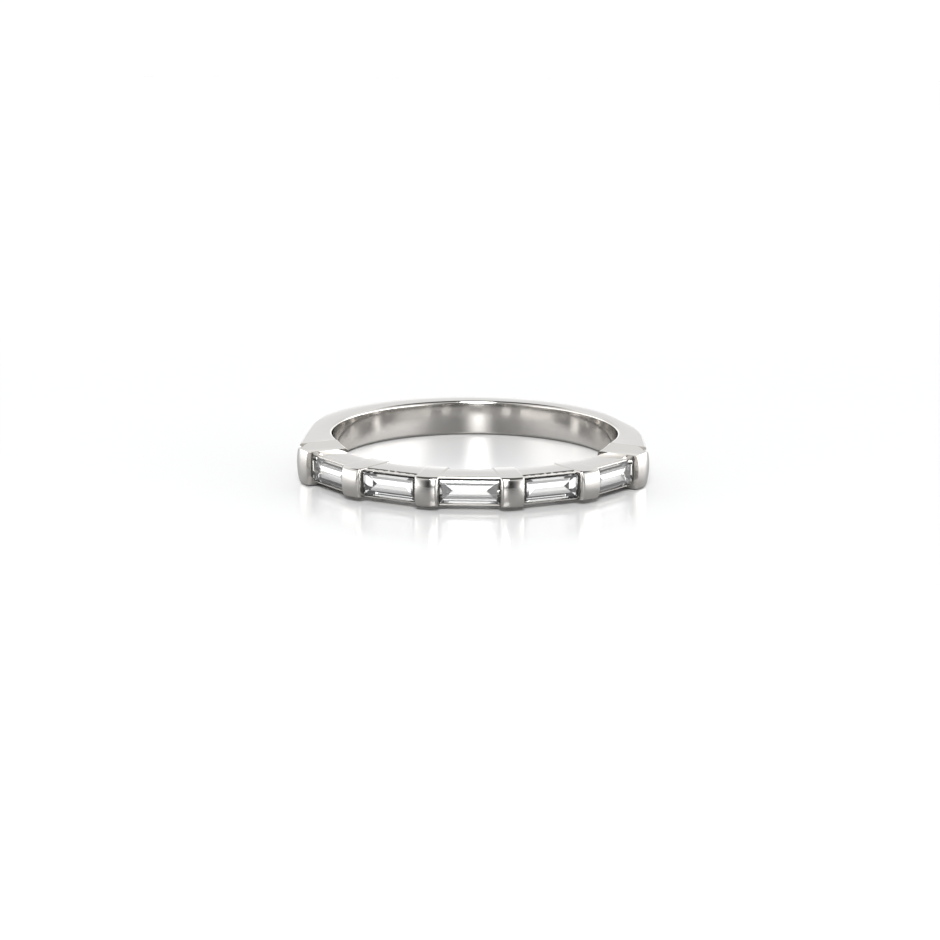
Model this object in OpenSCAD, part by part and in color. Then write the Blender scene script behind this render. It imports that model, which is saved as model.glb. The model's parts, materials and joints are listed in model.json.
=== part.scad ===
// Half eternity ring in white gold: five baguette stones, bar-set across the front of a plain band.
// The ring lies on its side. Z is the finger's axis, the stones face -Y,
// and the origin is the middle of the finger hole.

/* [Finger hole] */
// Inside diameter of the ring
finger_d = 17; // [16.6:0.1:17.6]
// Rounding of the band's two inner edges
inner_round = 0.2; // [0.15:0.05:0.3]

/* [Band] */
// Width of the band, along the finger
band_w = 2.25; // [2.15:0.05:2.4]
// Radius of the back's outer curve, beyond the finger hole
back_wall = 1.06; // [1:0.02:1.1]
// How far the back's outer curve is off the finger's axis, to the left
back_shift_x = 0.34; // [0.3:0.02:0.38]
// How far the back's outer curve is off the finger's axis, away from the stones
back_shift_y = 0.48; // [0.44:0.01:0.54]
// Radius of the front's outer curve, and half the band's breadth, beyond the finger hole
shoulder_wall = 1.47; // [1.45:0.01:1.5]
// How far the front's outer curve is off the finger's axis, towards the stones
shoulder_y = 1.65; // [1.6:0.01:1.7]
// Rounding of the band's two outer edges
outer_round = 0.1; // [0.08:0.01:0.15]
// Radius of the low dome across the band's outside
dome_r = 12; // [10:0.5:14]

/* [Stones] */
// Length of a baguette, across its girdle
stone_l = 3.36; // [3.3:0.02:3.44]
// Width of a baguette, along the finger
stone_w = 1.4; // [1.34:0.02:1.42]
// Height of the crown, from girdle to table
crown_h = 0.17; // [0.14:0.01:0.2]
// Thickness of the girdle
girdle_h = 0.05; // [0.04:0.01:0.06]
// Depth of the pavilion, from girdle to keel
pavilion_h = 0.72; // [0.66:0.02:0.76]
// Height of the girdle's top above the finger hole, at the middle of a stone
girdle_rise = 1.95; // [1.9:0.01:2]

/* [Setting] */
// Width of a bar, along the row of stones
bar_w = 1.26; // [1.2:0.02:1.32]
// Height of a bar's outer edges above the finger hole
bar_rise = 2.5; // [2.45:0.01:2.55]
// How far the middle of a bar's face bulges past those edges
bar_bulge = 0.17; // [0.12:0.01:0.2]
// Width of the head across the bars, along the finger
bar_h = 1.7; // [1.64:0.02:1.76]
// Width of the head across the rails beside the stones, along the finger
rail_h = 1.63; // [1.58:0.01:1.66]
// Height of the rails' outer faces above the finger hole
rail_rise = 1.96; // [1.92:0.01:2]
// Rounding of the rails' inner rims, at the finger hole
rail_round = 0.3; // [0.2:0.05:0.35]
// How far down from its outer face a rail's side is bevelled
rail_bevel = 0.46; // [0.4:0.02:0.5]
// How deep that bevel is at the outer face
rail_bevel_in = 0.06; // [0.04:0.01:0.08]
// Width of an end bar, along the row of stones
end_bar_w = 1.48; // [1.4:0.02:1.52]
// Width of an end bar at its face and where it meets the first stone, along the finger
end_bar_h = 1.94; // [1.86:0.02:1.98]
// Height above the finger hole at which an end bar starts to narrow towards its face
end_slope_rise = 1.8; // [1.7:0.05:1.9]
// Rounding of an end bar's two far corners, where it stands proud of the band
end_corner = 0.32; // [0.25:0.01:0.4]
// Rounding of the bars' outer corners
bar_round = 0.12; // [0.08:0.01:0.15]
// How far a stone's end sits in the groove of its bar
grip = 0.048; // [0.03:0.002:0.06]
// Air between a stone and its seat
seat_gap = 0.02; // [0.015:0.005:0.03]
// Length of the window behind each stone, along the row
window_l = 1.9; // [1.7:0.1:2.1]
// Width of the window behind each stone, along the finger
window_w = 0.8; // [0.6:0.05:0.9]
// How far the head sits below the middle of the band's width
head_drop = 0.07; // [0.05:0.01:0.08]

/* [Hidden] */

$fn = 96;
STONES = 5;
finger_r = finger_d / 2;
back_r = finger_r + back_wall;
shoulder_x = finger_r + shoulder_wall;
girdle_y = finger_r + girdle_rise;
bar_y = finger_r + bar_rise;
rail_y = finger_r + rail_rise;

// Angle from one bar to the next: the gap between two bars holds a stone's visible length.
// With t the tangent of half the angle, 2 girdle_y t - bar_w sqrt(1 + t^2) = visible_l.
visible_l = stone_l - 2 * grip;
pitch_a = 4 * pow(girdle_y, 2) - pow(bar_w, 2);
pitch_b = 4 * girdle_y * visible_l;
pitch_c = pow(visible_l, 2) - pow(bar_w, 2);
pitch = 2 * atan((pitch_b + sqrt(pow(pitch_b, 2) - 4 * pitch_a * pitch_c)) / (2 * pitch_a));

// Room past the band for whatever is cut away
clear = 4;
// Depth that joined metal runs into its neighbour
weld = 0.1;

GOLD = "#dcdad6";
DIAMOND = "#eef3f6";

// Turn from the front of the ring to a place along the row: 0 is the middle stone,
// and bars stand at the halves. Local +Y then points outwards, and local +X to the left.
module at_row(place) {
    rotate([0, 0, 180 + place * pitch]) children();
}

// Cut through a disc from its middle to its rim: a low dome between two rounded corners
module rim_section(r) {
    corner_z = band_w / 2 - outer_round;
    corner_x = r - dome_r + sqrt(pow(dome_r - outer_round, 2) - pow(corner_z, 2));
    touch_z = corner_z * dome_r / (dome_r - outer_round);
    translate([0, -band_w / 2]) square([corner_x, band_w]);
    for (side = [-1, 1]) translate([corner_x, side * corner_z]) circle(outer_round);
    intersection() {
        translate([r - dome_r, 0]) circle(dome_r);
        translate([0, -touch_z]) square([r + 1, 2 * touch_z]);
    }
}

// Disc of the band's width with the band's outer rim
module rim_disc(r, x, y) {
    translate([x, y, 0]) rotate_extrude() rim_section(r);
}

// Straight slab with the band's outer rim on its right, from one plan point to another
module rim_slab(from, to, depth) {
    run = to - from;
    translate([from[0], from[1], 0])
        rotate([0, 0, atan2(run[1], run[0])])
            rotate([90, 0, 90])
                mirror([1, 0, 0])
                    translate([-depth, 0, 0])
                        linear_extrude(norm(run)) rim_section(depth);
}

// One shoulder: the tangent from the back's curve to the front's, and the straight side below it.
// side is 1 on the right and -1 on the left.
module shoulder(side) {
    depth = 1.6;
    back = [-back_shift_x, back_shift_y];
    front = [0, -shoulder_y];
    between = front - back;
    lean = atan2(between[1], side * between[0]) + acos((back_r - shoulder_x) / norm(between));
    out = [side * cos(lean), sin(lean)];
    if (side > 0) {
        rim_slab(front + shoulder_x * out, back + back_r * out, depth);
        rim_slab([shoulder_x, -shoulder_y - clear * 2], [shoulder_x, -shoulder_y], depth);
    } else {
        rim_slab(back + back_r * out, front + shoulder_x * out, depth);
        rim_slab([-shoulder_x, -shoulder_y], [-shoulder_x, -shoulder_y - clear * 2], depth);
    }
}

// The plain band, solid to its middle, cut off at the far sides of the end bars
module band_solid() {
    end_place = STONES / 2;
    seam = end_bar_w - bar_w / 2 - weld;
    difference() {
        union() {
            rim_disc(back_r, -back_shift_x, back_shift_y);
            rim_disc(shoulder_x, 0, -shoulder_y);
            for (side = [-1, 1]) shoulder(side);
        }
        for (side = [-1, 1])
            at_row(side * end_place)
                translate([side > 0 ? -seam : seam - clear * 4, 0, -band_w])
                    cube([clear * 4, clear * 4, band_w * 2]);
    }
}

// The finger hole with its two rounded edges
module finger_hole() {
    rotate_extrude() difference() {
        translate([0, -band_w]) square([finger_r + inner_round, band_w * 2]);
        translate([finger_r + inner_round, 0])
            square([inner_round * 2, band_w - inner_round * 2], center = true);
        for (side = [-1, 1])
            translate([finger_r + inner_round, side * (band_w / 2 - inner_round)]) circle(inner_round);
    }
}

// Outline of a bar and its rounded outer corners, seen along the finger, between two places in the row
module bar_plan(from, to) {
    corner = bar_round;
    translate([from, finger_r - weld]) square([to - from, bar_rise + weld]);
    translate([from + corner, bar_y]) square([to - from - corner * 2, corner]);
    for (x = [from + corner, to - corner]) translate([x, bar_y]) circle(corner);
}

// Outline of a bar seen along the row, of height h: a bulged face with rounded corners
module bar_side(h) {
    half = h / 2;
    face_y = bar_y + bar_bulge;
    bulge_r = (pow(half, 2) + pow(bar_bulge, 2)) / (2 * bar_bulge);
    intersection() {
        translate([finger_r - weld, -half]) square([bar_rise + 1, h]);
        translate([face_y - bulge_r, 0]) circle(bulge_r);
    }
}

// One bar between two stones
module bar() {
    intersection() {
        translate([0, 0, -bar_h]) linear_extrude(bar_h * 2) bar_plan(-bar_w / 2, bar_w / 2);
        translate([-bar_w, 0, 0]) rotate([90, 0, 90]) linear_extrude(bar_w * 2) bar_side(bar_h);
    }
}

// Outline of an end bar seen along the row: a bar's bulged face on sides that narrow towards it
module end_bar_side() {
    half = band_w / 2;
    slope_y = finger_r + end_slope_rise;
    face_y = bar_y + bar_bulge;
    intersection() {
        bar_side(band_w);
        polygon([
            [finger_r - weld, -half], [slope_y, -half], [face_y, -head_drop - end_bar_h / 2],
            [face_y, end_bar_h / 2 - head_drop], [slope_y, half], [finger_r - weld, half]
        ]);
    }
}

// What is cut away to round one far corner of an end bar: a square less its inscribed quarter disc
module far_corner() {
    difference() {
        square(end_corner * 2);
        circle(end_corner);
    }
}

// One end bar: the band's width where it leaves the band, narrower at its face and at the stone.
// side is 1 at the right end of the row and -1 at the left.
module end_bar(side) {
    near = side * bar_w / 2;
    far = near - side * end_bar_w;
    low = head_drop + end_bar_h / 2;
    high = head_drop - end_bar_h / 2;
    corner_z = end_bar_h / 2 - end_corner;
    // How much of a far corner stands proud of the band
    proud = 0.18;
    difference() {
        intersection() {
            translate([0, 0, -band_w]) linear_extrude(band_w * 2) bar_plan(min(near, far), max(near, far));
            translate([-bar_w, 0, 0]) rotate([90, 0, 90]) linear_extrude(bar_w * 2) end_bar_side();
            rotate([-90, 0, 0]) linear_extrude(bar_y * 2) polygon([
                [far - side, -band_w / 2], [far, -band_w / 2], [near, high], [near + side, high],
                [near + side, low], [near, low], [far, band_w / 2], [far - side, band_w / 2]
            ]);
        }
        for (end = [-1, 1])
            translate([far + side * end_corner, bar_y - proud, end * corner_z - head_drop])
                rotate([-90, 0, 0])
                    linear_extrude(clear) scale([-side, -end]) far_corner();
    }
}

// The block between two bars that carries a stone, before its seat is cut
module rail_block() {
    half_l = finger_r * tan(pitch / 2) + weld;
    half_h = rail_h / 2;
    difference() {
        translate([-half_l, finger_r - weld, -rail_h / 2])
            cube([half_l * 2, rail_rise + weld, rail_h]);
        rotate_extrude() difference() {
            translate([0, -rail_h]) square([finger_r + rail_round, rail_h * 2]);
            translate([finger_r + rail_round, 0])
                square([rail_round * 2, rail_h - rail_round * 2], center = true);
            for (side = [-1, 1])
                translate([finger_r + rail_round, side * (rail_h / 2 - rail_round)]) circle(rail_round);
        }
        for (side = [-1, 1])
            translate([-half_l - weld, 0, 0]) rotate([90, 0, 90]) linear_extrude((half_l + weld) * 2)
                polygon([
                    [rail_y - rail_bevel, side * half_h], [rail_y, side * (half_h - rail_bevel_in)],
                    [rail_y + weld, side * (half_h - rail_bevel_in)], [rail_y + weld, side * (half_h + weld)],
                    [rail_y - rail_bevel, side * (half_h + weld)]
                ]);
    }
}

// Roof-shaped hollow of a half length and half width, narrowing from the girdle to a keel
module seat_taper(half_l, half_w, top_y) {
    depth = pavilion_h + seat_gap;
    intersection() {
        translate([0, 0, -half_w]) linear_extrude(half_w * 2) polygon([
            [-half_l, top_y], [half_l, top_y],
            [half_l - half_w * 0.9, top_y - depth], [half_w * 0.9 - half_l, top_y - depth]
        ]);
        translate([-half_l, 0, 0]) rotate([90, 0, 90]) linear_extrude(half_l * 2) polygon([
            [top_y, -half_w], [top_y, half_w],
            [top_y - depth, half_w * 0.1], [top_y - depth, -half_w * 0.1]
        ]);
    }
}

// All that is cut away for one stone: the groove for its girdle, its seat, and the window behind it
module stone_seat() {
    half_l = stone_l / 2 + seat_gap;
    half_w = stone_w / 2 + seat_gap;
    groove_y = girdle_y - girdle_h - seat_gap;
    translate([-half_l, groove_y, -half_w]) cube([half_l * 2, girdle_h + seat_gap * 2, half_w * 2]);
    translate([-visible_l / 2, groove_y, -half_w]) cube([visible_l, rail_rise, half_w * 2]);
    seat_taper(half_l, half_w, groove_y + 0.001);
    translate([-window_l / 2, finger_r - 1, -window_w / 2])
        cube([window_l, girdle_rise - pavilion_h / 2 + 1 - girdle_h, window_w]);
}

// The whole metal: band, bars and rails, soldered into one
module ring_mounting() {
    color(GOLD) difference() {
        union() {
            band_solid();
            translate([0, 0, -head_drop]) {
                for (place = [-2:2]) at_row(place) rail_block();
                for (place = [-1.5:1.5]) at_row(place) bar();
            }
            for (side = [-1, 1]) at_row(side * STONES / 2) end_bar(side);
        }
        finger_hole();
        translate([0, 0, -head_drop]) for (place = [-2:2]) at_row(place) stone_seat();
    }
}

// Step-cut baguette. Each row of steps is the share of the stone's half width left at that level,
// and the level's height over the girdle's top, in shares of crown or pavilion.
CROWN_STEPS = [[1, 0], [0.86, 0.62], [0.73, 1]];
PAVILION_STEPS = [[1, 0], [0.8, 0.36], [0.45, 0.76], [0, 1]];

// The four corners of a level whose edges lie inset from the girdle's outline
function level(share, y) =
    let (inset = stone_w / 2 * (1 - share), l = stone_l / 2 - inset, w = stone_w / 2 - inset)
    [[-l, y, -w], [l, y, -w], [l, y, w], [-l, y, w]];

// Sides between one level and the next, counted from the table down
function sides(row) = [for (k = [0:3]) let (n = (k + 1) % 4)
    [row * 4 + k, row * 4 + n, row * 4 + 4 + n, row * 4 + 4 + k]];

module baguette() {
    crown = [for (k = [2:-1:0]) level(CROWN_STEPS[k][0], girdle_y + CROWN_STEPS[k][1] * crown_h)];
    pavilion = [for (step = PAVILION_STEPS)
        level(step[0], girdle_y - girdle_h - step[1] * pavilion_h)];
    levels = concat(crown, pavilion);
    last = len(levels) - 1;
    points = [for (four = levels) for (corner = four) corner];
    // The keel's four corners fall together in pairs, so the last level keeps only two of them.
    steps = [for (row = [0:last - 2]) for (face = sides(row)) face];
    a = (last - 1) * 4;
    keel = [
        [a, a + 1, a + 5, a + 4], [a + 1, a + 2, a + 5],
        [a + 2, a + 3, a + 4, a + 5], [a + 3, a, a + 4]
    ];
    kept = [for (k = [0:a + 5]) points[k]];
    color(DIAMOND) polyhedron(kept, concat([[3, 2, 1, 0]], steps, keel));
}

module stone_at(place) {
    translate([0, 0, -head_drop]) at_row(place) baguette();
}

module baguette_1() { stone_at(-2); }
module baguette_2() { stone_at(-1); }
module baguette_3() { stone_at(0); }
module baguette_4() { stone_at(1); }
module baguette_5() { stone_at(2); }

ring_mounting();
baguette_1();
baguette_2();
baguette_3();
baguette_4();
baguette_5();
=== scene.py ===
"""Half eternity ring, lying on its side: polished white gold with five bar-set baguettes."""

import json
import math

import bmesh
import bpy
from mathutils import Matrix, Quaternion, Vector


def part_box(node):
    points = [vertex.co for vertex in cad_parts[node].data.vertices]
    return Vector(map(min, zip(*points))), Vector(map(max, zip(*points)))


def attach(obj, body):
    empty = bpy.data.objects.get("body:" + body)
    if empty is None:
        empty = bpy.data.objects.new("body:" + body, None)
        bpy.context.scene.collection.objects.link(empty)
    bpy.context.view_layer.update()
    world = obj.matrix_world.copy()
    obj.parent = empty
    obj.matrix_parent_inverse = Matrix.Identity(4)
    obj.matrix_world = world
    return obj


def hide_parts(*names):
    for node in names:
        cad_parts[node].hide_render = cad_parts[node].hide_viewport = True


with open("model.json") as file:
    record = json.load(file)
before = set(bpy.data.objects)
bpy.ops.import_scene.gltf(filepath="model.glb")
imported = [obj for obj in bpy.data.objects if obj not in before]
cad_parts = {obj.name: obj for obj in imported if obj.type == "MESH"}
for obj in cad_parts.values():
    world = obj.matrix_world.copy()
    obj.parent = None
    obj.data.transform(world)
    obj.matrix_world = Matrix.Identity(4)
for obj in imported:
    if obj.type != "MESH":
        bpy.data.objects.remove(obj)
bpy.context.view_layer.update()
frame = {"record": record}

bl_info = {
    "name": "Half Eternity Ring",
    "version": (1, 0, 0),
    "blender": (4, 5, 0),
    "location": "3D View > Sidebar > Ring",
    "description": "Builds a bar-set half eternity ring, its finishes and its studio",
    "category": "Add Mesh",
}

MM = 0.001
MOUNTS = {mount["name"]: mount for mount in frame["record"]["mounts"]}
METAL_LOW, METAL_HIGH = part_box("ring_mounting")
STONE_LOW, STONE_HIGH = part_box("baguette_3")
FINGER_R = MOUNTS["finger_bore"]["dims"]["r_mm"] * MM
BAND_H = METAL_HIGH.z - METAL_LOW.z
HEAD_Z = (STONE_LOW.z + STONE_HIGH.z) / 2
TABLE_Y = -STONE_LOW.y
STONE_L = STONE_HIGH.x - STONE_LOW.x
STONE_W = STONE_HIGH.z - STONE_LOW.z

# Places along the row: stones stand at whole numbers, bars at the halves between and beside them.
STONES = 5
END_PLACE = STONES / 2
# How far an end bar reaches from its place towards its stone, and how far it overlaps the band
END_REACH = 0.63 * MM
END_OVERLAP = 0.04 * MM
CROWN_H = 0.17 * MM


def linear(hex_colour):
    """An sRGB hex colour as the linear colour that shaders take."""
    shares = [int(hex_colour[k : k + 2], 16) / 255 for k in (1, 3, 5)]
    return tuple(s / 12.92 if s <= 0.04045 else ((s + 0.055) / 1.055) ** 2.4 for s in shares)


class RingSizes(bpy.types.PropertyGroup):
    """Sizes of the ring that its maker would choose"""

    pitch: bpy.props.FloatProperty(
        name="Pitch", description="Angle from one bar to the next",
        default=math.radians(24.7), subtype="ANGLE",
    )
    bar_width: bpy.props.FloatProperty(
        name="Bar width", description="Width of a bar along the row", default=1.32 * MM, unit="LENGTH",
    )
    bar_height: bpy.props.FloatProperty(
        name="Bar height", description="Width of the head across the bars", default=1.7 * MM, unit="LENGTH",
    )
    bar_rise: bpy.props.FloatProperty(
        name="Bar rise", description="Height of a bar's outer edges above the finger hole",
        default=2.5 * MM, unit="LENGTH",
    )
    rail_height: bpy.props.FloatProperty(
        name="Rail height", description="Width of the head across the rails",
        default=1.63 * MM, unit="LENGTH",
    )
    rail_rise: bpy.props.FloatProperty(
        name="Rail rise", description="Height of the rails' outer faces above the finger hole",
        default=1.96 * MM, unit="LENGTH",
    )
    back_wall: bpy.props.FloatProperty(
        name="Back wall", description="Thickness that the back's outer curve adds to the finger hole",
        default=1.06 * MM, unit="LENGTH",
    )
    end_bar_width: bpy.props.FloatProperty(
        name="End bar width", description="Width of an end bar along the row",
        default=1.48 * MM, unit="LENGTH",
    )
    end_bar_height: bpy.props.FloatProperty(
        name="End bar height", description="Width of an end bar's face, along the finger",
        default=1.94 * MM, unit="LENGTH",
    )


class RingFinishes(bpy.types.PropertyGroup):
    """Colours of the ring and its studio"""

    gold: bpy.props.FloatVectorProperty(
        name="White gold", description="Rhodium plate over white gold", subtype="COLOR",
        default=linear("#dedbd7"),
    )
    diamond: bpy.props.FloatVectorProperty(
        name="Diamond", description="Near-colourless stone", subtype="COLOR", default=linear("#fdfdfc"),
    )
    # A darker copy of the floor, for the metal's reflections only: painted shade
    floor: bpy.props.FloatVectorProperty(
        name="Floor", description="The floor as the metal mirrors it", subtype="COLOR",
        default=linear("#9c9c9c"),
    )
    floor_shown: bpy.props.FloatVectorProperty(
        name="Floor shown", description="The floor as the camera and the stones see it", subtype="COLOR",
        default=linear("#eaeaea"),
    )


def sizes():
    return bpy.context.scene.ring_sizes


def finishes():
    return bpy.context.scene.ring_finishes


# Ways of working on a mesh


def only(piece):
    """Leaves nothing selected but this piece, and makes it the active one."""
    if bpy.context.object and bpy.context.object.mode != "OBJECT":
        bpy.ops.object.mode_set(mode="OBJECT")
    bpy.ops.object.select_all(action="DESELECT")
    piece.select_set(True)
    bpy.context.view_layer.objects.active = piece


def name_new(name):
    """Names the primitive that was just added, and its mesh."""
    piece = bpy.context.object
    piece.name = name
    piece.data.name = name
    return piece


def block(name, low, high):
    """A box between two corners, its place in its mesh."""
    bpy.ops.object.select_all(action="DESELECT")
    middle = (Vector(low) + Vector(high)) / 2
    bpy.ops.mesh.primitive_cube_add(size=1, location=middle, scale=Vector(high) - Vector(low))
    bpy.ops.object.transform_apply(location=True, rotation=True, scale=True)
    return name_new(name)


def pick(piece, kind, test):
    """In edit mode, selects just the corners, edges or faces that the test accepts."""
    bpy.context.tool_settings.mesh_select_mode = tuple(kind == k for k in ("verts", "edges", "faces"))
    bpy.ops.mesh.select_all(action="DESELECT")
    shape = bmesh.from_edit_mesh(piece.data)
    for item in getattr(shape, kind):
        if test(item):
            item.select_set(True)
    shape.select_flush_mode()
    bmesh.update_edit_mesh(piece.data)


def edge_run(edge):
    """The way an edge runs, as a unit vector without a sense."""
    run = edge.verts[1].co - edge.verts[0].co
    return Vector(abs(c) for c in run.normalized())


def edge_middle(edge):
    return (edge.verts[0].co + edge.verts[1].co) / 2


def slice_through(piece, axis, low, high, cuts):
    """Cuts a piece through with evenly spaced planes across an axis, so that its faces can be curved."""
    across = Vector(float(k == axis) for k in range(3))
    for k in range(cuts):
        bpy.ops.mesh.select_all(action="SELECT")
        bpy.ops.mesh.bisect(
            plane_co=across * (low + (high - low) * (k + 1) / (cuts + 1)), plane_no=across, threshold=1e-9
        )


def trim(piece, point, outwards):
    """Cuts off all that lies beyond a plane, and closes the cut."""
    bpy.ops.mesh.select_all(action="SELECT")
    bpy.ops.mesh.bisect(
        plane_co=point, plane_no=Vector(outwards).normalized(),
        use_fill=True, clear_outer=True, threshold=1e-9,
    )


def weigh_edges(piece, share, test):
    """Sets how much of the bevel's full width some edges take."""
    pick(piece, "edges", test)
    bpy.ops.transform.edge_bevelweight(value=share)


def move_rows(piece, axis, test, shift):
    """Moves the corners that the test accepts, one row at a time, each by its own shift."""
    shape = bmesh.from_edit_mesh(piece.data)
    rows = {}
    for corner in shape.verts:
        if test(corner.co):
            rows.setdefault(round(corner.co[axis] / MM, 5), []).append(corner.index)
    for place, members in rows.items():
        value = shift(place * MM)
        if Vector(value).length > 1e-9:
            chosen = set(members)
            pick(piece, "verts", lambda v: v.index in chosen)
            bpy.ops.transform.translate(value=value, orient_type="GLOBAL")


def round_edges(piece, width, segments, limit="WEIGHT"):
    """Rounds the edges with a bevel and applies it."""
    only(piece)
    bevel = piece.modifiers.new("Rounded edges", "BEVEL")
    bevel.width = width
    bevel.segments = segments
    bevel.limit_method = limit
    bevel.angle_limit = math.radians(35)
    bevel.use_clamp_overlap = True
    bpy.ops.object.modifier_apply(modifier=bevel.name)


def cut_away(piece, cutter):
    """Cuts one shape out of another, and takes the cutter away."""
    only(piece)
    cut = piece.modifiers.new("Cut", "BOOLEAN")
    cut.object = cutter
    cut.operation = "DIFFERENCE"
    cut.solver = "EXACT"
    bpy.ops.object.modifier_apply(modifier=cut.name)
    bpy.data.objects.remove(cutter)


def smooth(piece, degrees=32):
    """Smooth shading that stays crisp at the real edges."""
    only(piece)
    bpy.ops.object.shade_smooth_by_angle(angle=math.radians(degrees))
    even = piece.modifiers.new("Even shading", "WEIGHTED_NORMAL")
    even.keep_sharp = True
    bpy.ops.object.modifier_apply(modifier=even.name)


def row_turn(place):
    """The turn from the front of the ring to a place along the row."""
    return Matrix.Rotation(math.pi + place * sizes().pitch, 4, "Z")


def put_in_row(piece, name, place, lift=0.0):
    """A copy, with its own mesh, of a piece modelled facing +Y, turned to its place in the row."""
    copy = piece.copy()
    copy.data = piece.data.copy()
    copy.name = name
    copy.data.name = name
    bpy.context.collection.objects.link(copy)
    copy.matrix_world = Matrix.Translation((0, 0, lift)) @ row_turn(place)
    only(copy)
    bpy.ops.object.transform_apply(location=True, rotation=True, scale=True)
    return copy


def dress(piece, material, slot, *nodes):
    """Gives a piece its finish, ties it to the ring, and hides the nodes that it stands for."""
    if not piece.data.materials:
        piece.data.materials.append(material)
    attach(piece, "root")
    if nodes:
        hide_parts(*nodes)


# Materials


def add(tree, kind, values=None, links=None, **settings):
    """Adds a shader node, with its settings, its sockets' values and the outputs that feed it."""
    node = tree.nodes.new(kind)
    for key, value in settings.items():
        setattr(node, key, value)
    for key, value in (values or {}).items():
        node.inputs[key].default_value = value
    for key, output in (links or {}).items():
        tree.links.new(output, node.inputs[key])
    return node


def blank(name):
    material = bpy.data.materials.new(name)
    material.use_nodes = True
    material.node_tree.nodes.clear()
    return material, material.node_tree


def white_gold():
    """Rhodium plate over cast 14-carat white gold, buffed by hand: a near mirror with faint waves."""
    name = "rhodium_plated_white_gold"
    if name in bpy.data.materials:
        return bpy.data.materials[name]
    material, tree = blank(name)
    place = add(tree, "ShaderNodeTexCoord").outputs["Object"]
    # Waves that the buffing wheel leaves, about 0.7 mm apart
    waves = add(tree, "ShaderNodeTexNoise", {"Scale": 1 / (0.7 * MM), "Detail": 2.0}, {"Vector": place})
    # Fine marks of the last polish, drawn at 0.08 mm so that they show
    marks = add(tree, "ShaderNodeTexNoise", {"Scale": 1 / (0.08 * MM), "Detail": 3.0}, {"Vector": place})
    wave_bump = add(
        tree, "ShaderNodeBump", {"Strength": 0.06, "Distance": 0.05 * MM},
        {"Height": waves.outputs["Fac"]},
    )
    mark_bump = add(
        tree, "ShaderNodeBump", {"Strength": 0.02, "Distance": 0.01 * MM},
        {"Height": marks.outputs["Fac"], "Normal": wave_bump.outputs["Normal"]},
    )
    gloss = add(
        tree, "ShaderNodeMapRange",
        {"From Min": 0.3, "From Max": 0.7, "To Min": 0.05, "To Max": 0.11},
        {"Value": marks.outputs["Fac"]},
    )
    metal = add(
        tree, "ShaderNodeBsdfPrincipled",
        {"Base Color": (*finishes().gold, 1), "Metallic": 1.0},
        {"Roughness": gloss.outputs["Result"], "Normal": mark_bump.outputs["Normal"]},
    )
    add(tree, "ShaderNodeOutputMaterial", links={"Surface": metal.outputs["BSDF"]})
    return material


def diamond(name, tone):
    """Polished diamond: clear, high index, crisp facets. Tone is how much light a facet mirrors inside;
    below one, it darkens the facets with painted shade.
    """
    if name in bpy.data.materials:
        return bpy.data.materials[name]
    material, tree = blank(name)
    place = add(tree, "ShaderNodeTexCoord").outputs["Object"]
    # Faint polishing lines, about 0.15 mm apart
    lines = add(tree, "ShaderNodeTexNoise", {"Scale": 1 / (0.15 * MM), "Detail": 2.0}, {"Vector": place})
    gloss = add(
        tree, "ShaderNodeMapRange", {"To Min": 0.0, "To Max": 0.02}, {"Value": lines.outputs["Fac"]}
    )
    stone = add(
        tree, "ShaderNodeBsdfPrincipled",
        {
            "Base Color": (*finishes().diamond, 1), "Transmission Weight": 1.0, "IOR": 2.42,
            "Specular Tint": (tone, tone, tone, 1),
        },
        {"Roughness": gloss.outputs["Result"]},
    )
    add(tree, "ShaderNodeOutputMaterial", links={"Surface": stone.outputs["BSDF"]})
    return material


# How much light the facets under a baguette's ends mirror inside. One tone for all would be truer to
# the stone; this lower one is painted shade, which draws the dark triangles at its ends.
END_FACET_PAINTED_SHADE_TONE = 0.16


# The band


class BandOutline:
    """The band's outline from above: a round back, a wider round front, and the sides that join them."""

    back = Vector((-0.34, 0.48)) * MM
    front = Vector((0, -1.65)) * MM
    front_r = 9.97 * MM

    def __init__(self):
        self.back_r = FINGER_R + sizes().back_wall
        self.discs = ((self.back, self.back_r), (self.front, self.front_r))
        self.lines = []
        between = self.front - self.back
        for side in (1, -1):
            lean = math.atan2(between.y, side * between.x)
            lean += math.acos((self.back_r - self.front_r) / between.length)
            out = Vector((side * math.cos(lean), math.sin(lean)))
            self.lines.append((self.front + out * self.front_r, self.back + out * self.back_r))
            straight = self.front + Vector((side * self.front_r, 0))
            self.lines.append((straight, straight - Vector((0, self.front_r))))

    def radius(self, angle):
        """How far the outline is from the finger's axis, in one direction."""
        way = Vector((math.cos(angle), math.sin(angle)))
        reach = []
        for middle, r in self.discs:
            along = middle.dot(way)
            inside = r * r - middle.length_squared + along * along
            if inside > 0:
                reach.append(along + math.sqrt(inside))
        for start, end in self.lines:
            run = end - start
            turn = way.x * run.y - way.y * run.x
            if abs(turn) > 1e-12:
                distance = (start.x * run.y - start.y * run.x) / turn
                share = (start.x * way.y - start.y * way.x) / turn
                if distance > 0 and 0 <= share <= 1:
                    reach.append(distance)
        return max(reach)


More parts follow.
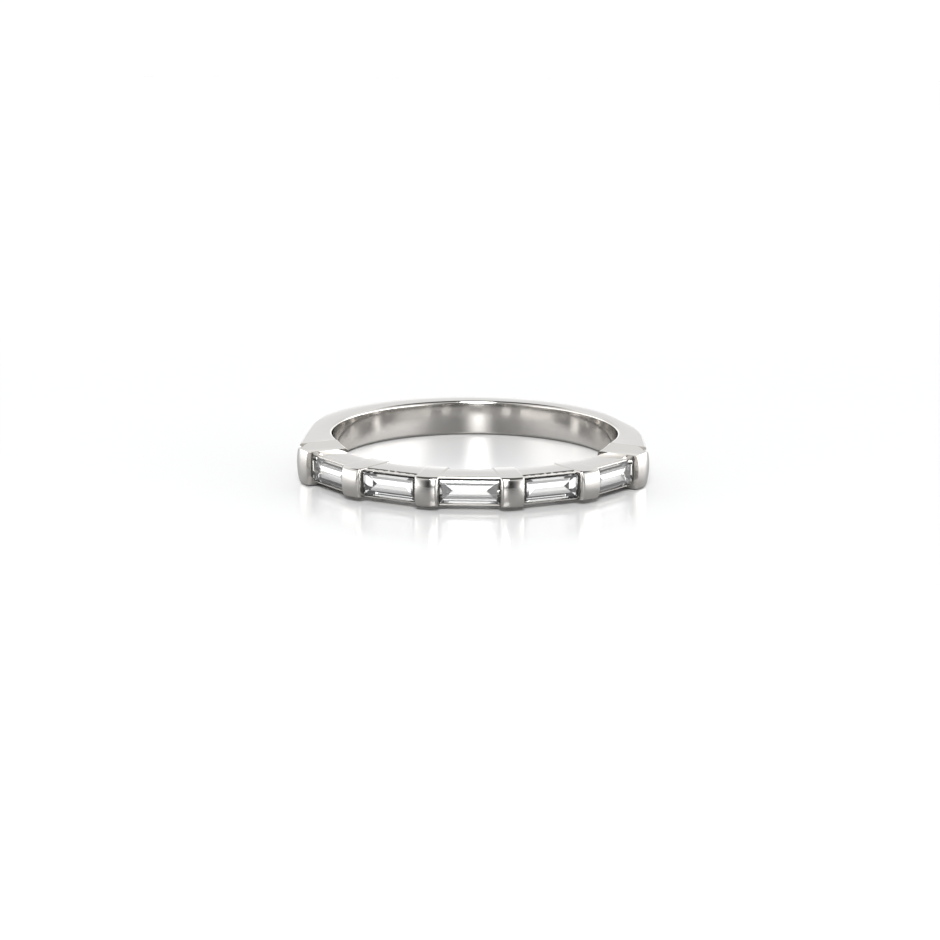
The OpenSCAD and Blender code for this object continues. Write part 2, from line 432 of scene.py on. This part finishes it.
def band_section(name):
    """The outline that a cut through the band's back shows: rounded inside, low dome outside."""
    inner_round, outer_round, dome_r, dome_cuts = 0.2 * MM, 0.1 * MM, 12.0 * MM, 9
    back_r = FINGER_R + sizes().back_wall
    half = BAND_H / 2
    dome_edge = math.sqrt(dome_r**2 - (half - outer_round) ** 2)
    outer_x = back_r - dome_r + dome_edge
    bpy.ops.object.select_all(action="DESELECT")
    bpy.ops.mesh.primitive_plane_add(
        size=1, location=((FINGER_R + outer_x) / 2, 0, 0), rotation=(math.pi / 2, 0, 0)
    )
    bpy.context.object.scale = (outer_x - FINGER_R, BAND_H, 1)
    bpy.ops.object.transform_apply(location=True, rotation=True, scale=True)
    section = name_new(name)
    bpy.ops.object.mode_set(mode="EDIT")
    for corner_x, width in ((FINGER_R, inner_round), (outer_x, outer_round)):
        at = Vector((corner_x, half))
        pick(section, "verts", lambda v: (Vector((v.co.x, abs(v.co.z))) - at).length < width / 2)
        bpy.ops.mesh.bevel(affect="VERTICES", offset=width, segments=8, profile=0.5)
    bpy.ops.mesh.select_all(action="SELECT")
    bpy.ops.mesh.delete(type="ONLY_FACE")
    pick(section, "edges", lambda e: edge_run(e).z > 0.999 and edge_middle(e).x > outer_x - 1e-6)
    bpy.ops.mesh.subdivide(number_cuts=dome_cuts)
    move_rows(
        section, 2, lambda co: co.x > outer_x - 1e-7,
        lambda z: (math.sqrt(dome_r**2 - z**2) - dome_edge, 0, 0),
    )
    bpy.ops.object.mode_set(mode="OBJECT")
    return section


def make_band():
    """The shank: its section spun round the finger hole, then drawn out to the band's outline."""
    outline = BandOutline()
    band = band_section("band")
    seam = math.pi / 2 - END_PLACE * sizes().pitch
    steps = 240
    sweep = math.pi + 2 * seam
    only(band)
    band.matrix_world = Matrix.Rotation(-seam, 4, "Z")
    bpy.ops.object.transform_apply(location=True, rotation=True, scale=True)
    bpy.ops.object.mode_set(mode="EDIT")
    bpy.ops.mesh.select_all(action="SELECT")
    bpy.ops.mesh.spin(steps=steps, angle=-sweep, center=(0, 0, 0), axis=(0, 0, 1), use_auto_merge=False)
    shape = bmesh.from_edit_mesh(band.data)
    middle_r = FINGER_R + sizes().back_wall / 2
    # The modelled metal's mesh has flat sides, so the true outline is drawn a hair inside it
    inset = 0.008 * MM
    stations = {}
    for corner in shape.verts:
        if corner.co.xy.length > middle_r:
            turned = math.atan2(corner.co.y, corner.co.x) + seam
            stations.setdefault(round(turned % math.tau / sweep * steps), []).append(corner.index)
    for station, members in stations.items():
        angle = station * sweep / steps - seam
        grow = outline.radius(angle) - outline.back_r - inset
        chosen = set(members)
        pick(band, "verts", lambda v: v.index in chosen)
        bpy.ops.transform.translate(
            value=(grow * math.cos(angle), grow * math.sin(angle), 0), orient_type="GLOBAL"
        )
    cut_x = sizes().end_bar_width - END_REACH - END_OVERLAP
    for side in (1, -1):
        turn = row_turn(side * END_PLACE)
        pick(band, "faces", lambda f: f.calc_center_median().x * side > 0 and f.verts[0].co.y < 0)
        bpy.ops.mesh.bisect(
            plane_co=turn @ Vector((-side * cut_x, 0, 0)), plane_no=turn.to_3x3() @ Vector((side, 0, 0)),
            use_fill=True, clear_outer=True, threshold=1e-8,
        )
    bpy.ops.mesh.select_all(action="SELECT")
    bpy.ops.mesh.normals_make_consistent(inside=False)
    bpy.ops.object.mode_set(mode="OBJECT")
    smooth(band)
    return band


# Bars and rails, modelled at the head of the row, facing +Y


def curve_bar(bar, width, height, round_w):
    """Pillows a bar's outer face and fits its inner one to the finger hole."""
    outer_y = FINGER_R + sizes().bar_rise
    pillow_r, bulge, foot = 2.3 * MM, 0.15 * MM, 0.1 * MM
    bulge_r = ((height / 2) ** 2 + bulge**2) / (2 * bulge)
    slice_through(bar, 0, -width / 2, width / 2, 13)
    slice_through(bar, 2, -height / 2, height / 2, 15)
    face = outer_y - round_w * 1.01
    move_rows(bar, 2, lambda co: co.y > face, lambda z: (
        0, math.sqrt(bulge_r**2 - z * z) - bulge_r + bulge, 0))
    move_rows(bar, 0, lambda co: co.y > outer_y - round_w, lambda x: (
        0, math.sqrt(pillow_r**2 - x * x) - pillow_r, 0))
    move_rows(bar, 0, lambda co: co.y < FINGER_R + foot, lambda x: (
        0, math.sqrt(FINGER_R**2 - x * x) - FINGER_R, 0))


def make_bars():
    """The four bars between the stones."""
    half_w = sizes().bar_width / 2
    half_h = sizes().bar_height / 2
    outer_y = FINGER_R + sizes().bar_rise
    inner_y = FINGER_R - 0.02 * MM
    round_w = 0.15 * MM
    rim = 1e-7
    bar = block("bar_pattern", (-half_w, inner_y, -half_h), (half_w, outer_y, half_h))
    bpy.ops.object.mode_set(mode="EDIT")
    weigh_edges(bar, 0.2, lambda e: abs(edge_middle(e).y - inner_y) < rim)
    weigh_edges(bar, 0.6, lambda e: edge_run(e).y > 0.9)
    weigh_edges(bar, 1.0, lambda e: abs(edge_middle(e).y - outer_y) < rim)
    bpy.ops.object.mode_set(mode="OBJECT")
    round_edges(bar, round_w, 6)
    bpy.ops.object.mode_set(mode="EDIT")
    curve_bar(bar, sizes().bar_width, sizes().bar_height, round_w)
    bpy.ops.object.mode_set(mode="OBJECT")
    smooth(bar)
    bars = [put_in_row(bar, f"bar_{k + 1}", k - 1.5, HEAD_Z) for k in range(STONES - 1)]
    bpy.data.objects.remove(bar)
    return bars


def round_far_corner(bar, x, z, side, end, low_y):
    """Rounds one far corner of an end bar, from the band's outside outwards."""
    radius, depth = 0.32 * MM, 2 * MM
    square = sorted((x - side * MM, x + side * radius)), sorted((z - end * radius, z + end * MM))
    low, high = ((square[0][k], low_y + k * depth, square[1][k]) for k in (0, 1))
    cutter = block("corner", low, high)
    bpy.ops.mesh.primitive_cylinder_add(
        vertices=96, radius=radius, depth=depth * 3,
        location=(x + side * radius, low_y, z - end * radius), rotation=(math.pi / 2, 0, 0),
    )
    cut_away(cutter, bpy.context.object)
    cut_away(bar, cutter)


def make_end_bars():
    """The two end bars: the band's full width at the seam, narrower at the face and at the first stone."""
    width, height = sizes().end_bar_width, sizes().end_bar_height
    half_w = width / 2
    full = BAND_H / 2
    outer_y = FINGER_R + sizes().bar_rise
    inner_y = FINGER_R - 0.02 * MM
    face_y = outer_y + 0.15 * MM
    slope_y = FINGER_R + 1.8 * MM
    proud_y = outer_y - 0.18 * MM
    round_w, inner_round = 0.15 * MM, 0.2 * MM
    rim = 1e-7
    ends = []
    for side in (1, -1):
        bar = block("end_bar", (-half_w, inner_y, -full), (half_w, outer_y, full))
        bpy.ops.object.mode_set(mode="EDIT")
        for end in (1, -1):
            face_z = end * height / 2 + HEAD_Z
            narrow = full - abs(face_z)
            trim(bar, (0, slope_y, end * full), (0, narrow, end * (face_y - slope_y)))
            trim(bar, (side * half_w, 0, face_z), (side * narrow, 0, end * width))
        pick(bar, "edges", lambda e: edge_run(e).x > 0.9 and edge_middle(e).y < inner_y + rim)
        bpy.ops.mesh.bevel(affect="EDGES", offset=inner_round, segments=8)
        bpy.ops.object.mode_set(mode="OBJECT")
        for end in (1, -1):
            round_far_corner(bar, -side * half_w, end * height / 2 + HEAD_Z, side, end, proud_y)
        round_edges(bar, round_w, 5, "ANGLE")
        bpy.ops.object.mode_set(mode="EDIT")
        curve_bar(bar, width, BAND_H, round_w)
        bpy.ops.mesh.select_all(action="SELECT")
        bpy.ops.transform.translate(value=(side * (END_REACH - half_w), 0, 0), orient_type="GLOBAL")
        bpy.ops.object.mode_set(mode="OBJECT")
        smooth(bar)
        ends.append(put_in_row(bar, "end_bar_right" if side > 0 else "end_bar_left", side * END_PLACE))
        bpy.data.objects.remove(bar)
    return ends


def graver_depth(x):
    """How deep the graver's cut is at one place along the rail, with a waver of two waves."""
    depth, even_share, waver, wave, beat = 0.045 * MM, 0.9, 0.3, 23, 9.7
    return depth * (even_share + waver * math.sin(x / MM * wave) * math.sin(x / MM * beat))


def make_rail(cut_in):
    """One block beside a stone: two rails, the stone's seat, the window behind it and the bright cuts."""
    half_l = FINGER_R * math.tan(sizes().pitch / 2) + 0.1 * MM
    half_h = sizes().rail_height / 2
    outer_y = FINGER_R + sizes().rail_rise
    inner_y = FINGER_R - 0.01 * MM
    girdle_y = TABLE_Y - CROWN_H
    seat_w = STONE_W / 2 + 0.02 * MM
    bevel_down, bevel_in = 0.46 * MM, 0.02 * MM
    inner_round = 0.3 * MM
    rim = 1e-7
    rail = block("rail_pattern", (-half_l, inner_y, -half_h), (half_l, outer_y, half_h))
    bpy.ops.object.mode_set(mode="EDIT")
    for end in (1, -1):
        trim(rail, (0, outer_y - bevel_down, end * half_h), (0, bevel_in, end * bevel_down))

    def along(e, y):
        m = edge_middle(e)
        return edge_run(e).x > 0.999 and abs(m.y - y) < rim and abs(m.z) > half_h - bevel_in - rim

    weigh_edges(rail, 1.0, lambda e: along(e, inner_y))
    weigh_edges(rail, 0.12, lambda e: along(e, outer_y))
    bpy.ops.object.mode_set(mode="OBJECT")
    round_edges(rail, inner_round, 8)
    bpy.ops.object.mode_set(mode="EDIT")
    slice_through(rail, 0, -half_l, half_l, 63)
    # The graver's cut: the strip beside the stone lies lower, past a small slope that wavers
    slope_y, slope_w = outer_y - cut_in, 0.05 * MM
    slice_through(rail, 1, slope_y - slope_w, slope_y + 2 * slope_w, 2)
    for end in (1, -1):
        move_rows(
            rail, 0, lambda co: co.y > slope_y + rim and end * co.z > half_h - bevel_in - 0.01 * MM,
            lambda x: (0, 0, -end * graver_depth(x)),
        )
    move_rows(rail, 0, lambda co: co.y < FINGER_R + inner_round + 0.01 * MM, lambda x: (
        0, math.sqrt(FINGER_R**2 - x * x) - FINGER_R, 0))
    bpy.ops.object.mode_set(mode="OBJECT")
    groove_y = girdle_y - 0.07 * MM
    cut_away(rail, block("groove", (-half_l - MM, groove_y, -seat_w), (half_l + MM, outer_y + MM, seat_w)))
    # The seat narrows downwards, as the stone's pavilion does, and opens into the window below it
    seat_l, seat_depth = half_l * 1.02, 0.74 * MM
    seat = block("seat", (-seat_l, groove_y - seat_depth, -seat_w), (seat_l, groove_y + 0.01 * MM, seat_w))
    bpy.ops.object.mode_set(mode="EDIT")
    pick(seat, "verts", lambda v: v.co.y < groove_y - 0.5 * MM)
    bpy.ops.transform.resize(value=(0.62, 1, 0.1), center_override=(0, 0, 0))
    bpy.ops.object.mode_set(mode="OBJECT")
    cut_away(rail, seat)
    window_l, window_w, window_y = 0.95 * MM, 0.4 * MM, groove_y - 0.4 * MM
    window = block("window", (-window_l, FINGER_R - MM, -window_w), (window_l, window_y, window_w))
    cut_away(rail, window)
    smooth(rail)
    return rail


# How wide the bright-cut strip beside each stone is, in millimetres
BRIGHT_CUTS = (0.4, 0.32, 0.1, 0.3, 0.36)


def make_rails():
    """The pair of rails beside each stone."""
    rails = []
    for k, cut_in in enumerate(BRIGHT_CUTS):
        rail = make_rail(cut_in * MM)
        rails.append(put_in_row(rail, f"rails_{k + 1}", k - 2, HEAD_Z))
        bpy.data.objects.remove(rail)
    return rails


def make_stones():
    """The five baguettes: step-cut crown and pavilion round a thin girdle, facing +Y as modelled."""
    half_l = STONE_L / 2
    half_w = STONE_W / 2
    girdle_y = TABLE_Y - CROWN_H
    girdle_h = 0.05 * MM
    # Each step: how far it drops, and how far its facets draw in along and across the stone
    crown = ((0.09, 0.08, 0.08), (0.08, 0.11, 0.11))
    pavilion = ((0.16, 0.15, 0.15), (0.25, 0.29, 0.25), (0.28, 0.34, 0.3))
    stone = block("stone_pattern", (-half_l, girdle_y - girdle_h, -half_w), (half_l, girdle_y, half_w))
    bpy.ops.object.mode_set(mode="EDIT")
    for sense, steps, start in ((1, crown, girdle_y), (-1, pavilion, girdle_y - girdle_h)):
        level, reach_x, reach_z = start, half_l, half_w
        for drop, draw_x, draw_z in steps:
            at = level
            pick(stone, "faces", lambda f: (
                abs(f.normal.y) > 0.9 and abs(f.calc_center_median().y - at) < 1e-7))
            bpy.ops.mesh.extrude_region_move(TRANSFORM_OT_translate={"value": (0, sense * drop * MM, 0)})
            next_x, next_z = reach_x - draw_x * MM, max(reach_z - draw_z * MM, 0)
            bpy.ops.transform.resize(
                value=(next_x / reach_x, 1, next_z / reach_z), center_override=(0, 0, 0)
            )
            level, reach_x, reach_z = level + sense * drop * MM, next_x, next_z
    bpy.ops.mesh.select_all(action="SELECT")
    bpy.ops.mesh.remove_doubles(threshold=1e-7)
    bpy.ops.mesh.normals_make_consistent(inside=False)
    bpy.ops.object.mode_set(mode="OBJECT")
    stone.data.materials.append(diamond("step_cut_diamond", 1.0))
    # The second material paints shade on the pavilion's end facets
    stone.data.materials.append(diamond("step_cut_diamond_ends", END_FACET_PAINTED_SHADE_TONE))
    bpy.ops.object.mode_set(mode="EDIT")
    pick(stone, "faces", lambda f: (
        abs(f.normal.x) > 0.4 and f.calc_center_median().y < girdle_y - girdle_h))
    bpy.context.object.active_material_index = 1
    bpy.ops.object.material_slot_assign()
    bpy.ops.object.mode_set(mode="OBJECT")
    stones = [put_in_row(stone, f"stone_{k + 1}", k - 2, HEAD_Z) for k in range(STONES)]
    bpy.data.objects.remove(stone)
    return stones


# Operators, one for each piece or group of like pieces


class RING_OT_band(bpy.types.Operator):
    """Builds the plain shank"""

    bl_idname = "ring.band"
    bl_label = "Band"

    def execute(self, context):
        dress(make_band(), white_gold(), "white_gold", "ring_mounting")
        return {"FINISHED"}


class RING_OT_bars(bpy.types.Operator):
    """Builds the four bars between the stones"""

    bl_idname = "ring.bars"
    bl_label = "Bars"

    def execute(self, context):
        for bar in make_bars():
            dress(bar, white_gold(), "white_gold", "ring_mounting")
        return {"FINISHED"}


class RING_OT_end_bars(bpy.types.Operator):
    """Builds the bars at the two ends of the row"""

    bl_idname = "ring.end_bars"
    bl_label = "End bars"

    def execute(self, context):
        for bar in make_end_bars():
            dress(bar, white_gold(), "white_gold", "ring_mounting")
        return {"FINISHED"}


class RING_OT_rails(bpy.types.Operator):
    """Builds the rails and seats beside the stones"""

    bl_idname = "ring.rails"
    bl_label = "Rails"

    def execute(self, context):
        for rail in make_rails():
            dress(rail, white_gold(), "white_gold", "ring_mounting")
        return {"FINISHED"}


class RING_OT_stones(bpy.types.Operator):
    """Builds the five step-cut baguettes"""

    bl_idname = "ring.stones"
    bl_label = "Stones"

    def execute(self, context):
        for k, stone in enumerate(make_stones()):
            dress(stone, None, "diamond", f"baguette_{k + 1}")
        return {"FINISHED"}


# The studio

# Where the camera stands: its distance from the point of the floor under the finger hole's middle,
# its height above the floor, its turn to the ring's right, and its roll
CAMERA_DISTANCE = 100 * MM
CAMERA_ELEVATION = math.radians(13.55)
CAMERA_TURN = math.radians(1.46)
CAMERA_ROLL = math.radians(0.3)
# Pixels that a millimetre takes at that point of the floor, and where that point shows in the picture
PIXELS_PER_MM = 16.612
PICTURE = 940
POINT_SHOWN = (474.6, 465.2)
SENSOR = 36.0
FLOOR_SIZE = 6


def make_camera():
    floor_point = Vector((0, 0, METAL_LOW.z))
    back = Vector((
        math.sin(CAMERA_TURN) * math.cos(CAMERA_ELEVATION),
        -math.cos(CAMERA_TURN) * math.cos(CAMERA_ELEVATION),
        math.sin(CAMERA_ELEVATION),
    ))
    camera = bpy.data.cameras.new("camera")
    camera.sensor_width = SENSOR
    camera.lens = PIXELS_PER_MM * CAMERA_DISTANCE / MM / PICTURE * SENSOR
    camera.shift_x = (PICTURE / 2 - POINT_SHOWN[0]) / PICTURE
    camera.shift_y = (POINT_SHOWN[1] - PICTURE / 2) / PICTURE
    camera.clip_start = 0.001
    camera.dof.use_dof = False
    stand = bpy.data.objects.new("camera", camera)
    bpy.context.scene.collection.objects.link(stand)
    stand.location = floor_point + back * CAMERA_DISTANCE
    stand.rotation_mode = "QUATERNION"
    aim = (-back).to_track_quat("-Z", "Y")
    stand.rotation_quaternion = aim @ Quaternion((0, 0, 1), CAMERA_ROLL)
    bpy.context.scene.camera = stand


def soft_light(name, azimuth, elevation, distance, width, height, power):
    """A soft box that faces the ring. Azimuth 0 is the stones' side, and 90 the ring's right."""
    a, e = math.radians(azimuth), math.radians(elevation)
    way = Vector((math.sin(a) * math.cos(e), -math.cos(a) * math.cos(e), math.sin(e)))
    light = bpy.data.lights.new(name, "AREA")
    light.shape = "RECTANGLE"
    light.size = width
    light.size_y = height
    light.energy = power
    lamp = bpy.data.objects.new(name, light)
    bpy.context.scene.collection.objects.link(lamp)
    lamp.location = way * distance
    lamp.rotation_mode = "QUATERNION"
    lamp.rotation_quaternion = (-way).to_track_quat("-Z", "Y")
    lamp.visible_transmission = False


def make_floor():
    """Glossy white acrylic. The camera and the stones see it as an exposed white sheet; the ring's metal
    mirrors a darker copy of it, which is painted shade.
    """
    bpy.ops.object.select_all(action="DESELECT")
    bpy.ops.mesh.primitive_plane_add(size=FLOOR_SIZE, location=(0, 0, METAL_LOW.z))
    bpy.ops.object.transform_apply(location=True, rotation=True, scale=True)
    floor = name_new("floor")
    material, tree = blank("white_acrylic")
    ray = add(tree, "ShaderNodeLightPath")
    shown = add(
        tree, "ShaderNodeMath",
        links={0: ray.outputs["Is Camera Ray"], 1: ray.outputs["Is Transmission Ray"]}, operation="MAXIMUM",
    )
    # The metal's rays get the darker copy of the floor: painted shade in its reflections
    colour = add(
        tree, "ShaderNodeMix", {"A": (*finishes().floor, 1), "B": (*finishes().floor_shown, 1)},
        {"Factor": shown.outputs[0]}, data_type="RGBA",
    )
    # Painted light: the sheet glows faintly into the stones, though no lamp lights it from below
    painted_glow = add(
        tree, "ShaderNodeMath", {1: 0.3}, {0: ray.outputs["Is Transmission Ray"]}, operation="MULTIPLY",
    ).outputs[0]
    sheet = add(
        tree, "ShaderNodeBsdfPrincipled",
        {"Roughness": 0.17, "IOR": 1.49, "Emission Color": (1, 1, 1, 1)},
        {"Base Color": colour.outputs[2], "Emission Strength": painted_glow},
    )
    add(tree, "ShaderNodeOutputMaterial", links={"Surface": sheet.outputs[0]})
    floor.data.materials.append(material)


def ramp(tree, source, start, end, low, high):
    """A soft step from one level to another."""
    return add(
        tree, "ShaderNodeMapRange",
        {"From Min": start, "From Max": end, "To Min": low, "To Max": high},
        {"Value": source}, interpolation_type="SMOOTHSTEP",
    ).outputs["Result"]


def mul(tree, first, second):
    return add(tree, "ShaderNodeMath", links={0: first, 1: second}, operation="MULTIPLY").outputs[0]


def glow(tree, source, middle, core, reach):
    """One at a middle value, falling softly to nothing on both sides of it."""
    off = add(tree, "ShaderNodeMath", {1: middle}, {0: source}, operation="SUBTRACT").outputs[0]
    far = add(tree, "ShaderNodeMath", links={0: off}, operation="ABSOLUTE").outputs[0]
    return ramp(tree, far, core, reach, 1.0, 0.0)


def make_world():
    """White walls, brighter at the sides, a dark place round the camera with a soft strip at its middle."""
    world = bpy.data.worlds.new("studio")
    bpy.context.scene.world = world
    world.use_nodes = True
    tree = world.node_tree
    tree.nodes.clear()
    way = add(tree, "ShaderNodeTexCoord").outputs["Generated"]
    parts = add(tree, "ShaderNodeSeparateXYZ", links={"Vector": way})
    x, y, z = (parts.outputs[k] for k in ("X", "Y", "Z"))
    boxes = mul(tree, ramp(tree, x, 0.55, 0.9, 0.78, 2.6), ramp(tree, x, -0.9, -0.6, 2.1, 1.0))
    # The boxes at the sides are low ones, and the wall above them is plain
    sides = add(
        tree, "ShaderNodeMix", {"B": 0.78}, {"Factor": ramp(tree, z, 0.3, 0.42, 0.0, 1.0), "A": boxes}
    ).outputs[0]
    # -Y is the camera's side: the wall there is dark within about 30 degrees of its middle
    front = ramp(tree, y, -0.95, -0.62, 0.05, 1.0)
    back = mul(tree, ramp(tree, y, 0.2, 0.6, 1.0, 1.14), ramp(tree, z, 0.4, 0.6, 1.0, 1.2))
    ceiling = mul(tree, ramp(tree, z, 0.7, 0.88, 1.0, 0.12), ramp(tree, z, 0.04, 0.22, 1.6, 1.0))
    walls = mul(tree, mul(tree, sides, mul(tree, front, back)), ceiling)
    # A tall soft strip over the camera, at the middle of the dark place
    strip = mul(tree, glow(tree, x, -0.025, 0.0, 0.32), glow(tree, z, 0.32, 0.1, 0.42))
    strip = mul(tree, strip, strip)
    before = mul(tree, strip, ramp(tree, y, -0.6, -0.5, 5.0, 0.0))
    seen = add(tree, "ShaderNodeMath", links={0: walls, 1: before}, operation="ADD").outputs[0]
    # Light that the stones gather: bright all round but for the camera's own place
    gathered = mul(tree, ramp(tree, y, -0.97, -0.86, 0.25, 1.05), ramp(tree, z, 0.3, 0.65, 0.5, 1.1))
    ray = add(tree, "ShaderNodeLightPath")
    shine = add(
        tree, "ShaderNodeMix", links={"Factor": ray.outputs["Is Transmission Ray"], "A": seen, "B": gathered}
    ).outputs[0]
    # Light that the floor scatters comes more from behind the ring, so its shadow falls to the front
    scattered = ramp(tree, y, -0.3, 0.9, 0.2, 1.7)
    shine = add(
        tree, "ShaderNodeMix", links={"Factor": ray.outputs["Diffuse Depth"], "A": shine, "B": scattered}
    ).outputs[0]
    shine = add(
        tree, "ShaderNodeMix", {"B": 1.05}, {"Factor": ray.outputs["Is Camera Ray"], "A": shine}
    ).outputs[0]
    # The wall behind the ring is a touch cooler than the others
    cool = add(
        tree, "ShaderNodeMix", {"A": (1, 1, 1, 1), "B": (0.985, 0.993, 1, 1)},
        {"Factor": ramp(tree, y, 0.2, 0.6, 0.0, 1.0)}, data_type="RGBA",
    )
    light = add(tree, "ShaderNodeBackground", links={"Color": cool.outputs[2], "Strength": shine})
    add(tree, "ShaderNodeOutputWorld", links={"Surface": light.outputs[0]})


class RING_OT_studio(bpy.types.Operator):
    """Sets up the floor, the lights and the camera"""

    bl_idname = "ring.studio"
    bl_label = "Studio"

    def execute(self, context):
        make_floor()
        make_world()
        soft_light(
            "front_top_box", azimuth=-1, elevation=48, distance=0.5, width=0.2, height=0.2, power=1.8,
        )
        make_camera()
        context.scene.view_settings.view_transform = "Standard"
        return {"FINISHED"}


STEPS = (
    RING_OT_studio,
    RING_OT_band,
    RING_OT_bars,
    RING_OT_end_bars,
    RING_OT_rails,
    RING_OT_stones,
)


class RING_PT_panel(bpy.types.Panel):
    """Lists the steps that build the ring"""

    bl_idname = "RING_PT_panel"
    bl_label = "Half Eternity Ring"
    bl_space_type = "VIEW_3D"
    bl_region_type = "UI"
    bl_category = "Ring"

    def draw(self, context):
        for group in (context.scene.ring_sizes, context.scene.ring_finishes):
            for key in group.bl_rna.properties.keys():
                if key not in {"rna_type", "name"}:
                    self.layout.prop(group, key)
        for step in STEPS:
            self.layout.operator(step.bl_idname)


CLASSES = (RingSizes, RingFinishes, *STEPS, RING_PT_panel)


def register():
    for kind in CLASSES:
        bpy.utils.register_class(kind)
    bpy.types.Scene.ring_sizes = bpy.props.PointerProperty(type=RingSizes)
    bpy.types.Scene.ring_finishes = bpy.props.PointerProperty(type=RingFinishes)


def unregister():
    del bpy.types.Scene.ring_finishes
    del bpy.types.Scene.ring_sizes
    for kind in reversed(CLASSES):
        bpy.utils.unregister_class(kind)


def main():
    register()
    bpy.ops.ring.studio()
    bpy.ops.ring.band()
    bpy.ops.ring.bars()
    bpy.ops.ring.end_bars()
    bpy.ops.ring.rails()
    bpy.ops.ring.stones()


if __name__ == "__main__":
    main()
